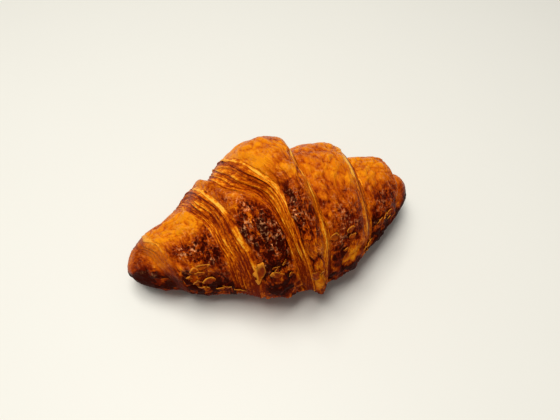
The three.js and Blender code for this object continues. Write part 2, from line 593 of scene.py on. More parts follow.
@dataclass(frozen=True)
class BrowningAndShading:
    """How much each thing adds to the skin's tone, which runs from 0, pale, to 1, mahogany: real browned
    colour, with some painted shade and painted highlight.
    """

    least: float = 0.28
    baked: float = 0.46
    # low darkens the skin down by the base: partly real browning, partly painted shade.
    low: float = 0.34
    top: float = -0.09
    blotches: float = 0.20
    puckers: float = 0.12
    tips: float = 0.24
    # under darkens the skin below the front's edge: partly real browning, partly painted shade.
    under: float = 0.30
    sides: float = 0.08
    # wrinkles and baked_wrinkle_shade paint shade into the wrinkles' hollows and a highlight on their
    # crests.
    wrinkles: float = 0.18
    baked_wrinkle_shade: float = 0.92
    plate: float = 0.34
    rim: float = -0.46
    # split darkens the crack across the tail's tongue: painted shade in the crack.
    split: float = 0.7
    tongue: float = -0.3
    # crease paints shade into the creases' hollows, and ridge paints a highlight along their crests.
    crease: float = 2.4
    ridge: float = -0.3

    def tone(self, patch: Patch, zones: Zones, marks: Marks) -> np.ndarray:
        """Adds the terms up, painted shade and highlight among them.

        Args:
            patch: the vertices' places on the roll.
            zones: what the crust is like there.
            marks: the fine marks there.

        Returns:
            How brown each vertex is.
        """
        wrinkle_shading = self.wrinkles + self.baked_wrinkle_shade * zones.baked
        tone = self.least + self.baked * zones.baked + self.low * zones.low + self.top * zones.top
        tone += self.blotches * zones.blotches + self.puckers * zones.puckers + self.tips * zones.tips
        # Painted shade under the base, partly real browning.
        tone += self.under * rises(zones.below + 8 * zones.puckers, -8, 28)
        # Painted shade in the wrinkles' hollows and painted highlight on their crests.
        tone += self.sides * (1 - zones.top) + wrinkle_shading * (marks.wrinkles - WRINKLE_EDGE)
        tone += marks.flaky * (self.plate * marks.plate + self.rim * marks.rim)
        # Painted shade in the crack across the tongue.
        tone += self.split * marks.split
        tone += self.tongue * marks.tongue * falls(patch.angle, 134, 12) * (patch.angle > 60)
        # Painted shade in the creases' hollows and painted highlight along their crests.
        crease_shading = self.crease * np.maximum(0.12 - marks.creases, 0)
        crease_shading += self.ridge * np.maximum(marks.creases - CREASE_RIDGE, 0)
        return tone + (1 - zones.baked) * zones.lobe * crease_shading


@dataclass
class Crust:
    """The whole baked roll as one closed mesh.

    A lift, lump, pucker, crinkle, crease or flake is a height, and a size says how wide such a thing is.
    The ragged span is the band whose first leaf is torn.
    """

    dough: Dough
    plan: RingPlan
    sectors: int = 262
    base_stretch: float = 0.34
    base_flat: float = 0.2
    base_fade: float = 2.5
    follow_turn: float = 0.75
    swap_turns: float = 0.2
    leaf_lift: float = 0.9
    leaf_full_width: float = 1.6
    leaf_wander: float = 0.75
    leaf_wave: float = 26.0
    leaf_narrowing: float = 0.85
    leaf_patch: float = 22.0
    lump: float = 0.9
    lump_size: float = 17.0
    pucker: float = 0.8
    pucker_size: float = 6.5
    blotch_size: float = 20.0
    crinkle: float = 1.9
    crinkle_size: float = 2.7
    crinkle_depth: float = 0.3
    crease: float = 1.3
    crease_apart: float = 5.0
    crease_length: float = 8.5
    flake: float = 0.6
    flaky_size: float = 15.0
    plate_size: float = 4.8
    rim_width: float = 0.16
    tear_size: float = 6.0
    tongue: tuple[float, float] = (1.0, 11.0)
    split_angle: float = 116.0
    split_width: float = 1.8
    ragged_span: int = 3
    browning_and_shading: BrowningAndShading = BrowningAndShading()

    def angles(self) -> np.ndarray:
        """The sectors' angles, closer together over the top than under the base."""
        u = np.arange(self.sectors) / self.sectors
        return 360.0 * (u + self.base_stretch * np.sin(2 * math.pi * u) / (2 * math.pi))

    def ring_places(self, rings: list[Ring], angles: np.ndarray) -> tuple[np.ndarray, ...]:
        """Works out where each ring passes each sector.

        The rings follow the lips of the sheet over the top and round to the base. There each set
        moves across to the turn that it meets again at the front.

        Args:
            rings: the rings from end to end.
            angles: the sectors' angles, in degrees.

        Returns:
            A table of x by ring and sector, one of how wide the ring's span is there, one of the
            ring's lane, which is its usual x, and for each sector how far its rings are swapped over.
        """
        turn = self.dough.turn_at(angles)
        swap = rises(turn, self.follow_turn, self.swap_turns)[:, None]
        marks = self.dough.stations(turn) * (1 - swap) + self.dough.stations(turn - 1) * swap
        usual = marks.mean(0)
        rows, widths, lanes = [], [], []
        for ring in rings:
            share = np.full(len(angles), ring.share)
            if ring.strip is Strip.CUT:
                share = np.abs(share - self.leaf_share(ring, angles))
            rows.append(marks[:, ring.span] * (1 - share) + marks[:, ring.span + 1] * share)
            widths.append(marks[:, ring.span + 1] - marks[:, ring.span])
            lanes.append(usual[ring.span] * (1 - share) + usual[ring.span + 1] * share)
        return np.array(rows), np.array(widths), np.array(lanes), swap[:, 0]

    def leaf_share(self, ring: Ring, angles: np.ndarray) -> np.ndarray:
        """Lets the edges of a band's leaves wander.

        Args:
            ring: a ring of the band.
            angles: the sectors' angles, in degrees.

        Returns:
            How far down the band the ring runs at each sector, from 0 at the lip to 1 at the foot.
        """
        edges = []
        for edge in (ring.leaf, ring.leaf + 1):
            sway = [noise.noise(Vector((edge * 3.7, a / self.leaf_wave, ring.span * 9.1))) for a in angles]
            loose = 0.0 < edge < ring.leaves
            edges.append(edge + loose * self.leaf_wander * np.array(sway))
        down = (edges[0] * (1 - ring.part) + edges[1] * ring.part) / ring.leaves
        return np.clip(down, 0.0, 1.0) ** self.leaf_narrowing

    def lay_out(self, ball: bmesh.types.BMesh, rings: list[Ring]) -> Patch:
        """Reads each vertex of the starting ball as a ring and a sector.

        Args:
            ball: a UV sphere of radius 1 with one row of vertices for each ring.
            rings: the rings from the left tip to the right one.

        Returns:
            The vertices' places on the roll, in the ball's own order.
        """
        unit = np.array([v.co[:] for v in ball.verts])
        rows = len(rings) + 1
        row = np.rint(np.arccos(np.clip(unit[:, 2], -1, 1)) / math.pi * rows).astype(int)
        sector = np.rint(np.arctan2(unit[:, 1], unit[:, 0]) / (2 * math.pi) * self.sectors).astype(int)
        sector = np.mod(sector, self.sectors)
        angles = self.angles()
        places, widths, lanes, swap = self.ring_places(rings, angles)
        half = np.full((1, self.sectors), self.dough.length / 2)
        places = np.concatenate([-half, places, half])
        widths = np.concatenate([widths[:1], widths, widths[-1:]])
        lanes = np.concatenate([-half, lanes, half])
        rings = [rings[0], *rings, rings[-1]]
        leaf = np.array([ring.leaf + ring.part for ring in rings])
        cut = np.array([float(ring.strip is Strip.CUT) for ring in rings])
        span = np.array([ring.span for ring in rings])
        share = np.array([ring.share for ring in rings])
        return Patch(
            x=places[row, sector],
            angle=angles[sector],
            leaf=leaf[row],
            cut=cut[row],
            swapped=swap[sector],
            span=span[row],
            share=share[row],
            width=widths[row, sector],
            lane=lanes[row, sector],
        )

    def face_number(self, face: bmesh.types.BMFace) -> float:
        """Numbers a face of the starting ball by its vertices, which come in the same order each run.

        The faces themselves don't, and the flakes lie by whichever of two equal faces comes first.

        Args:
            face: one face of the ball.

        Returns:
            A number that no other face has.
        """
        first, second, third = sorted(vert.index for vert in face.verts)[:3]
        return float((first * MOST_VERTS + second) * MOST_VERTS + third)

    def build(self) -> bpy.types.Object:
        """Models the crust from a ball and gives it its relief.

        Returns:
            The crust's object, at the origin, with its place in its mesh.
        """
        rings = self.plan.rings(self.dough.edges)
        ball = bmesh.new()
        bmesh.ops.create_uvsphere(ball, u_segments=self.sectors, v_segments=len(rings) + 1, radius=1.0)
        ball.verts.index_update()
        ball.faces.sort(key=self.face_number)
        patch = self.lay_out(ball, rings)
        points = self.dough.surface(patch.x, patch.angle)
        for vert, point in zip(ball.verts, points):
            vert.co = point
        ball.normal_update()
        outwards = np.array([v.normal[:] for v in ball.verts])
        clear = rises(points[:, 2], self.base_flat, self.base_fade)
        relief, looks = self.relief(patch, points)
        points = points + outwards * (relief * clear)[:, None]
        points[:, 2] = np.maximum(points[:, 2], 0.0)
        centre = (points.min(0) + points.max(0)) / 2
        low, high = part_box(NODE)
        shift = np.array((low + high) / 2) / MM - centre
        shift[2] = 0.0
        for vert, point in zip(ball.verts, (points + shift) * MM):
            vert.co = point
        mesh = bpy.data.meshes.new("crust")
        ball.to_mesh(mesh)
        ball.free()
        mesh.shade_smooth()
        for name, values in looks.items():
            attribute = mesh.attributes.new(name, "FLOAT", "POINT")
            attribute.data.foreach_set("value", values.astype(np.float32))
        crust = bpy.data.objects.new("crust", mesh)
        bpy.context.scene.collection.objects.link(crust)
        return crust

    def relief(self, patch: Patch, points: np.ndarray) -> tuple[np.ndarray, dict[str, np.ndarray]]:
        """Works out the leaves, lumps, folds and plates.

        Args:
            patch: the vertices' places on the roll.
            points: the same places in millimetres.

        Returns:
            How far each vertex moves outwards, in millimetres, and the values that the finish reads.
        """
        zones = self.zones(patch, points)
        marks = self.marks(patch, points, zones)
        strength = np.array([
            noise.noise(Vector((math.floor(leaf) * 5.7, angle / self.leaf_patch, span * 3.3)))
            for leaf, angle, span in zip(patch.leaf, patch.angle, patch.span)
        ])
        lumps = rough_field(points, self.lump_size, Seed.LUMPS)
        bumps = zones.skin * self.pucker * (0.4 + 0.6 * zones.seen) * zones.puckers
        plates = marks.flaky * (0.4 * marks.plate - 0.7 * marks.rim)
        leaves, folds = self.leaf_heights(patch, zones, strength), self.fold_heights(zones, marks)
        height = leaves - self.lump * lumps - bumps + folds + self.flake * zones.seen * plates
        height -= marks.split
        looks = {
            # brown: real browning together with painted shade and painted highlight.
            "brown": self.browning_and_shading.tone(patch, zones, marks),
            "cut": patch.cut * zones.open,
            "leaf": patch.leaf,
            "along": patch.angle,
            "flaky": marks.flaky,
            "baked": zones.baked,
            # ridge: the wrinkles' crests, where the painted glints go.
            "ridge": (0.35 + 0.65 * zones.baked) * ease(1 - marks.wrinkles / WRINKLE_EDGE),
            "glaze": rises(patch.angle, 100, 30) * falls(patch.angle, 255, 30),
            "lane": patch.lane,
            "gold": self.leaf_gold(patch, points, zones, strength),
        }
        return height, looks

    def zones(self, patch: Patch, points: np.ndarray) -> Zones:
        """Works out what the crust is like at each vertex.

        Args:
            patch: the vertices' places on the roll.
            points: the same places in millimetres.

        Returns:
            The zones that it lies in.
        """
        x, angle = patch.x, patch.angle
        last = patch.span.max()
        outer = (patch.span == 1) | (patch.span == last - 1)
        skin = 1 - patch.cut
        lobe = skin * (patch.span > 0) * (patch.span < last)
        rightwards = rises(x, -6, 22)
        below = 100 + np.minimum(40 * ((x - 20) / 80) ** 2, 30) - angle
        front = falls(below, 8, 30) * falls(angle, 182 - 10 * rightwards, 38)
        blotches = rough_field(points, self.blotch_size, Seed.BLOTCHES)
        flattened = points * np.array((1.0, 0.75, 0.75))
        middle = hump(patch.share, 0.0, 1.0) ** 0.6
        deep = sum(spot.strength(x, angle) for spot in BAKED_SPOTS)
        baked = np.clip(0.75 * middle * front + 0.4 * blotches + 0.75 * deep, 0, 1)
        return Zones(
            skin=skin,
            lobe=lobe,
            top=rises(angle, 150, 30),
            low=rises(below, -20, 36) + rises(angle, 250, 30),
            tips=rises(np.abs(x), 60, 9) * (0.7 + 0.5 * falls(angle, 170, 60)),
            seen=rises(angle, 58, 14) * falls(angle, 232, 36),
            baked=lobe * (1 - 0.4 * rightwards) * baked,
            open=np.where(outer, 0.1 + 0.5 * rises(angle, 140, 35), 1.0),
            below=below,
            puckers=rough_field(flattened, self.pucker_size, Seed.PUCKERS),
            blotches=blotches,
        )

    def marks(self, patch: Patch, points: np.ndarray, zones: Zones) -> Marks:
        """Works out the fine marks in the skin.

        Args:
            patch: the vertices' places on the roll.
            points: the same places in millimetres.
            zones: what the crust is like there.

        Returns:
            The marks at each vertex.
        """
        around = points * np.array((1.0, 0.6, 0.6)) + 1.3 * zones.puckers[:, None]
        wrinkles = np.abs(rough_field(around, self.crinkle_size, Seed.WRINKLES))
        across = patch.share * patch.width / self.crease_apart
        along = np.radians(patch.angle) * self.dough.crown_radius / self.crease_length
        drift = 0.5 * zones.puckers
        run = np.stack([across + drift, along - drift, patch.span * 5.0], -1)
        swayed = points + 2.0 * zones.puckers[:, None]
        border, plate = cell_field(swayed, self.plate_size, Seed.PLATES)
        low_front = rises(zones.below, -26, 40) * (patch.angle > 20)
        loose = rough_field(points, self.flaky_size, Seed.FLAKY)
        flaky = ease(0.1 + 0.9 * low_front + 0.8 * loose)
        tongue = hump(patch.x, *self.tongue)
        wave = (patch.angle - self.split_angle - 2.0 * np.sin(1.3 * patch.x)) / self.split_width
        return Marks(
            wrinkles=np.minimum(wrinkles, self.crinkle_depth),
            creases=np.abs(rough_field(run, 1.0, Seed.CREASES)),
            flaky=flaky * zones.skin * (1 - zones.tips),
            plate=plate,
            rim=ease(1 - border / self.rim_width),
            tongue=tongue,
            split=zones.lobe * tongue * np.exp(-(wave**2)),
        )

    def leaf_heights(self, patch: Patch, zones: Zones, strength: np.ndarray) -> np.ndarray:
        """Lifts each leaf of the bands at its lower edge.

        Args:
            patch: the vertices' places on the roll.
            zones: what the crust is like there.
            strength: each leaf's own number.

        Returns:
            How far each vertex moves outwards, in millimetres.
        """
        left, right = self.dough.edges
        counts = np.array([*reversed(left.leaves), *right.leaves, 1])
        count = counts[np.minimum(patch.span // 2, len(counts) - 1)]
        full = np.clip(patch.width / count / self.leaf_full_width, 0, 1)
        part = patch.leaf - np.floor(patch.leaf)
        cut = patch.cut * (1 - patch.swapped) * zones.open
        return cut * self.leaf_lift * full * (0.6 + 1.2 * strength) * (part**1.3 - 0.35)

    def fold_heights(self, zones: Zones, marks: Marks) -> np.ndarray:
        """Folds the skin along its wrinkles and creases.

        Args:
            zones: what the crust is like at each vertex.
            marks: the fine marks there.

        Returns:
            How far each vertex moves outwards, in millimetres.
        """
        folded = zones.skin * (0.28 + 0.72 * zones.baked) * self.crinkle * (0.2 - marks.wrinkles)
        folded += zones.lobe * (1 - 0.8 * zones.baked) * self.crease * (marks.creases - CREASE_RIDGE)
        return folded * (0.25 + 0.75 * zones.seen)

    def leaf_gold(self, patch: Patch, points: np.ndarray, zones: Zones, strength: np.ndarray) -> np.ndarray:
        """Works out how golden the leaves are.

        Args:
            patch: the vertices' places on the roll.
            points: the same places in millimetres.
            zones: what the crust is like there.
            strength: each leaf's own number.

        Returns:
            A number for each vertex, from 0, dark, to 1, straw.
        """
        torn = rough_field(points, self.tear_size, Seed.TORN)
        torn *= np.where(patch.span == self.ragged_span, 2.0, 0.3)
        first = ease(1.7 - patch.leaf) * np.clip(0.95 + torn, 0, 1.1)
        groove = ease(1 - np.abs(patch.leaf - 2.2) / 0.7)
        gold = 0.40 + (0.30 + 0.30 * zones.top) * first - 0.24 * groove + 0.50 * strength
        # Lighter over the top and darker down by the base: partly real browning, partly painted shade.
        return gold + 0.10 * zones.top - 0.36 * zones.low - 0.4 * zones.tips


@dataclass(frozen=True)
class FlakeSite:
    """Where a stretch of the crust has lifted into flakes.

    Attributes:
        x: its middle along the roll.
        angle: its middle round the roll.
        spread_x: how far the flakes lie from it along the roll.
        spread_angle: how far they lie from it round the roll, in degrees.
        count: how many there are.
        length: their usual length.
        turned: how far they lie round from the roll's own line, in degrees.
        rise: how far they stand off the skin.
        pale: how much paler they are than the others, up to 1.
        slim: how wide they are against the others.
    """

    x: float
    angle: float
    spread_x: float
    spread_angle: float
    count: int
    length: float
    turned: float
    rise: float = 0.12
    pale: float = 0.0
    slim: float = 1.0


FLAKE_SITES = (
    FlakeSite(-18.6, 113, 0.0, 0, 1, 9.0, 80, rise=0.3, pale=0.25, slim=0.5),
    FlakeSite(-40.5, 129, 0.5, 1, 1, 6.5, 20, rise=0.2, pale=0.15),
    FlakeSite(-42.0, 116, 6.0, 8, 5, 4.4, 10),
    FlakeSite(-34.0, 98, 10.0, 7, 5, 4.4, 10),
    FlakeSite(-9.0, 112, 5.0, 8, 5, 4.4, 30),
    FlakeSite(6.0, 108, 3.0, 6, 2, 4.0, 70),
    FlakeSite(22.0, 119, 5.0, 8, 4, 4.4, 20),
    FlakeSite(32.0, 98, 9.0, 7, 4, 4.4, 30),
    FlakeSite(49.0, 118, 4.0, 9, 4, 4.0, 40),
    FlakeSite(0.0, 262, 45.0, 22, 12, 5.0, 20),
)


@dataclass
class Flakes:
    """Thin scales of crust that have lifted at one side."""

    dough: Dough
    sites: tuple[FlakeSite, ...] = FLAKE_SITES
    thickness: float = 0.22
    lift: float = 0.7
    turn_spread: float = 35.0
    raggedness: float = 0.6
    ragged_lobes: float = 0.9
    curl_start: float = 0.4
    curl_power: float = 1.5
    least_radius: float = 12.0
    seed: int = 11

    def build(self, crust: bpy.types.Object) -> bpy.types.Object:
        """Lays the flakes on the crust.

        Args:
            crust: the finished crust, whose surface they lie on.

        Returns:
            All the flakes as one object.
        """
        verts = [v.co.copy() for v in crust.data.vertices]
        skin = BVHTree.FromPolygons(verts, [tuple(p.vertices) for p in crust.data.polygons])
        draw = random.Random(self.seed)
        scales = bmesh.new()
        scales.verts.layers.float.new("shade")
        scales.verts.layers.float_vector.new("out")
        for site in self.sites:
            for _ in range(site.count):
                self.lay(scales, skin, site, draw)
        out = scales.verts.layers.float_vector["out"]
        made = bmesh.ops.extrude_face_region(scales, geom=scales.faces[:], use_keep_orig=True)
        for vert in made["geom"]:
            if isinstance(vert, bmesh.types.BMVert):
                vert.co += vert[out] * self.thickness * MM
        mesh = bpy.data.meshes.new("flakes")
        scales.to_mesh(mesh)
        scales.free()
        mesh.shade_smooth()
        flakes = bpy.data.objects.new("flakes", mesh)
        bpy.context.scene.collection.objects.link(flakes)
        return flakes

    def lay(self, scales: bmesh.types.BMesh, skin: BVHTree, site: FlakeSite,
            draw: random.Random) -> None:
        """Lays one flake: a ragged scale that follows the skin and lifts towards one side.

        Args:
            scales: where it is added.
            skin: the crust's surface.
            site: where it lies.
            draw: the source of chance.
        """
        x = site.x + draw.uniform(-1, 1) * site.spread_x
        angle = site.angle + draw.uniform(-1, 1) * site.spread_angle
        length = site.length * draw.uniform(0.6, 1.25) / 2
        width = length * draw.uniform(0.4, 0.8) * site.slim
        turned = math.radians(site.turned + draw.uniform(-self.turn_spread, self.turn_spread))
        shape = draw.uniform(0, 100)
        lift = self.lift * draw.uniform(0.35, 1.0)
        grid = bmesh.ops.create_grid(scales, x_segments=9, y_segments=7, size=1.0)["verts"]
        u, v = np.array([vert.co[:2] for vert in grid]).T
        turn = np.arctan2(v, u)
        far = np.maximum(np.abs(u), np.abs(v))
        lobes = self.ragged_lobes
        edge = np.stack([lobes * np.cos(turn), lobes * np.sin(turn), np.full_like(turn, shape)], -1)
        ragged = np.array([noise.noise(Vector(place)) for place in edge])
        reach = far * (1 + self.raggedness * ragged)
        along, across = np.cos(turn) * reach * length, np.sin(turn) * reach * width
        dx = along * math.cos(turned) - across * math.sin(turned)
        round_by = along * math.sin(turned) + across * math.cos(turned)
        radius = max(float(self.dough.spindle_radius(np.array([x]))[0]), self.least_radius)
        places = self.dough.surface(x + dx, angle + np.degrees(round_by / radius))
        curled = np.maximum(across / width + self.curl_start, 0.0) ** self.curl_power
        heights = site.rise + lift * curled
        shades = site.pale + far * (0.75 + 0.25 * np.sin(turn))
        shade_layer = scales.verts.layers.float["shade"]
        out_layer = scales.verts.layers.float_vector["out"]
        for vert, place, height, shade in zip(grid, places, heights, shades):
            on_skin, normal, _, _ = skin.find_nearest(Vector(place) * MM)
            vert.co = on_skin + normal * height * MM
            vert[shade_layer] = shade
            vert[out_layer] = normal


# ---------------------------------------------------------------- shader expressions


class Value:
    """A shader socket that takes part in Python arithmetic."""

    def __init__(self, shader: "Shader", socket: bpy.types.NodeSocket) -> None:
        """Wraps one output socket."""
        self.shader = shader
        self.socket = socket

    def _math(self, operation: str, *parts: "Value | float", clamp: bool = False) -> "Value":
        """Adds a Math node over some values."""
        settings = {"operation": operation, "use_clamp": clamp}
        return self.shader.node("ShaderNodeMath", settings, dict(enumerate(parts)))[0]

    def __add__(self, other: "Value | float") -> "Value":
        """Adds."""
        return self._math("ADD", self, other)

    __radd__ = __add__

    def __sub__(self, other: "Value | float") -> "Value":
        """Subtracts."""
        return self._math("SUBTRACT", self, other)

    def __rsub__(self, other: "Value | float") -> "Value":
        """Subtracts this from a number."""
        return self._math("SUBTRACT", other, self)

    def __mul__(self, other: "Value | float") -> "Value":
        """Multiplies."""
        return self._math("MULTIPLY", self, other)

    __rmul__ = __mul__

    def __truediv__(self, other: "Value | float") -> "Value":
        """Divides."""
        return self._math("DIVIDE", self, other)

    def clamp(self) -> "Value":
        """Keeps it between 0 and 1."""
        return self._math("ADD", self, 0.0, clamp=True)

    def size(self) -> "Value":
        """Its distance from 0."""
        return self._math("ABSOLUTE", self)

    def fraction(self) -> "Value":
        """The part after the point."""
        return self._math("FRACT", self)

    def step_over(self, start: float, end: float) -> "Value":
        """Turns it into a smooth step.

        Args:
            start: where the step is 0.
            end: where it is 1, which may be the smaller of the two.

        Returns:
            The step.
        """
        settings = {"interpolation_type": "SMOOTHSTEP"}
        sides = {"From Min": start, "From Max": end, "To Min": 0.0, "To Max": 1.0}
        if start > end:
            sides = {"From Min": end, "From Max": start, "To Min": 1.0, "To Max": 0.0}
        return self.shader.node("ShaderNodeMapRange", settings, {"Value": self, **sides})["Result"]


class Outputs:
    """The output sockets of one node."""

    def __init__(self, shader: "Shader", node: bpy.types.Node) -> None:
        """Wraps a node."""
        self.shader = shader
        self.node = node

    def __getitem__(self, key: str | int) -> Value:
        """The output of that name or number."""
        return Value(self.shader, self.node.outputs[key])


class Shader:
    """One material's nodes."""

    COLOUR_MIX = {"factor": 0, "a": 6, "b": 7, "result": 2}

    def __init__(self, name: str) -> None:
        """Starts an empty material.

        Args:
            name: the material's name.
        """
        self.material = bpy.data.materials.new(name)
        self.material.use_nodes = True
        self.tree = self.material.node_tree
        self.tree.nodes.clear()

    def node(self, kind: str, settings: dict | None = None, sockets: dict | None = None) -> Outputs:
        """Adds a node.

        Args:
            kind: the node's type.
            settings: its properties, which are set first.
            sockets: its inputs by name or number, each a value or a link.

        Returns:
            Its outputs.
        """
        node = self.tree.nodes.new(kind)
        for key, setting in (settings or {}).items():
            setattr(node, key, setting)
        for key, value in (sockets or {}).items():
            if isinstance(value, Value):
                self.tree.links.new(value.socket, node.inputs[key])
            else:
                node.inputs[key].default_value = value
        return Outputs(self, node)

    def attribute(self, name: str) -> Value:
        """A number kept with the piece's vertices."""
        return self.node("ShaderNodeAttribute", {"attribute_name": name})["Fac"]

    def place(self) -> Value:
        """The place on the piece, in millimetres."""
        scaled = {0: self.node("ShaderNodeTexCoord")["Object"], "Scale": 1 / MM}
        return self.node("ShaderNodeVectorMath", {"operation": "SCALE"}, scaled)[0]

    def scatter(self, place: Value, scale: float, detail: float) -> Value:
        """A noise colour, to move places with."""
        sockets = {"Vector": place, "Scale": scale, "Detail": detail}
        return self.node("ShaderNodeTexNoise", None, sockets)["Color"]

    def shifted(self, place: Value, way: Value, far: float) -> Value:
        """A place moved along a noise colour, by about that many units."""
        settings = {"operation": "MULTIPLY_ADD"}
        return self.node("ShaderNodeVectorMath", settings, {0: way, 1: (far, far, far), 2: place})[0]

    def vector(self, x: Value | float, y: Value | float, z: Value | float) -> Value:
        """A vector from three numbers."""
        return self.node("ShaderNodeCombineXYZ", None, {0: x, 1: y, 2: z})[0]

    def grain(self, place: Value, size: float, detail: float = 2.0, rough: float = 0.5) -> Value:
        """Noise between 0 and 1 whose lumps are that many units wide."""
        sockets = {"Vector": place, "Scale": 1 / size, "Detail": detail, "Roughness": rough}
        return self.node("ShaderNodeTexNoise", None, sockets)["Fac"]

    def plates(self, place: Value, size: float) -> Value:
        """A number between 0 and 1 that is the same all over each plate, that many units wide."""
        return self.node("ShaderNodeTexVoronoi", None, {"Vector": place, "Scale": 1 / size})["Color"]

    def ramp(self, factor: Value, stops: tuple[tuple[float, Colour], ...]) -> Value:
        """A colour that changes smoothly between its stops.

        Args:
            factor: where to read it.
            stops: the places and their colours, as linear light.

        Returns:
            The colour.
        """
        made = self.node("ShaderNodeValToRGB", None, {"Fac": factor})
        ramp = made.node.color_ramp
        while len(ramp.elements) < len(stops):
            ramp.elements.new(1.0)
        for element, (at, colour) in zip(ramp.elements, stops):
            element.position = at
            element.color = (*colour, 1.0)
        return made["Color"]

    def mix(self, factor: Value, a: Value | Colour, b: Value | Colour) -> Value:
        """Mixes two colours.

        Args:
            factor: how much of the second there is, from 0 to 1.
            a: the first colour.
            b: the second colour.

        Returns:
            The mixed colour.
        """
        slots = self.COLOUR_MIX
        sockets = {slots["factor"]: factor}
        for key, colour in (("a", a), ("b", b)):
            sockets[slots[key]] = colour if isinstance(colour, Value) else (*colour, 1.0)
        return self.node("ShaderNodeMix", {"data_type": "RGBA"}, sockets)[slots["result"]]

    def bump(self, height: Value, depth: float) -> Value:
        """A surface that stands out by its height, 1 for that many millimetres."""
        sockets = {"Strength": 1.0, "Distance": depth * MM, "Height": height}
        return self.node("ShaderNodeBump", None, sockets)["Normal"]

    def surface(self, **sockets: Value | float | Colour) -> bpy.types.Material:
        """Ends the material in a Principled shader.

        Args:
            sockets: its inputs, with underscores for the spaces in their names.

        Returns:
            The finished material.
        """
        named = {key.replace("_", " "): value for key, value in sockets.items()}
        shader = self.node("ShaderNodeBsdfPrincipled", None, named)
        output = self.tree.nodes.new("ShaderNodeOutputMaterial")
        self.tree.links.new(shader.node.outputs[0], output.inputs["Surface"])
        return self.material


def light_of(red: int, green: int, blue: int) -> Colour:
    """A screen colour, 0 to 255, as linear light."""
    parts = (channel / 255 for channel in (red, green, blue))
    return tuple(p / 12.92 if p <= 0.04045 else ((p + 0.055) / 1.055) ** 2.4 for p in parts)


# ---------------------------------------------------------------- finishes


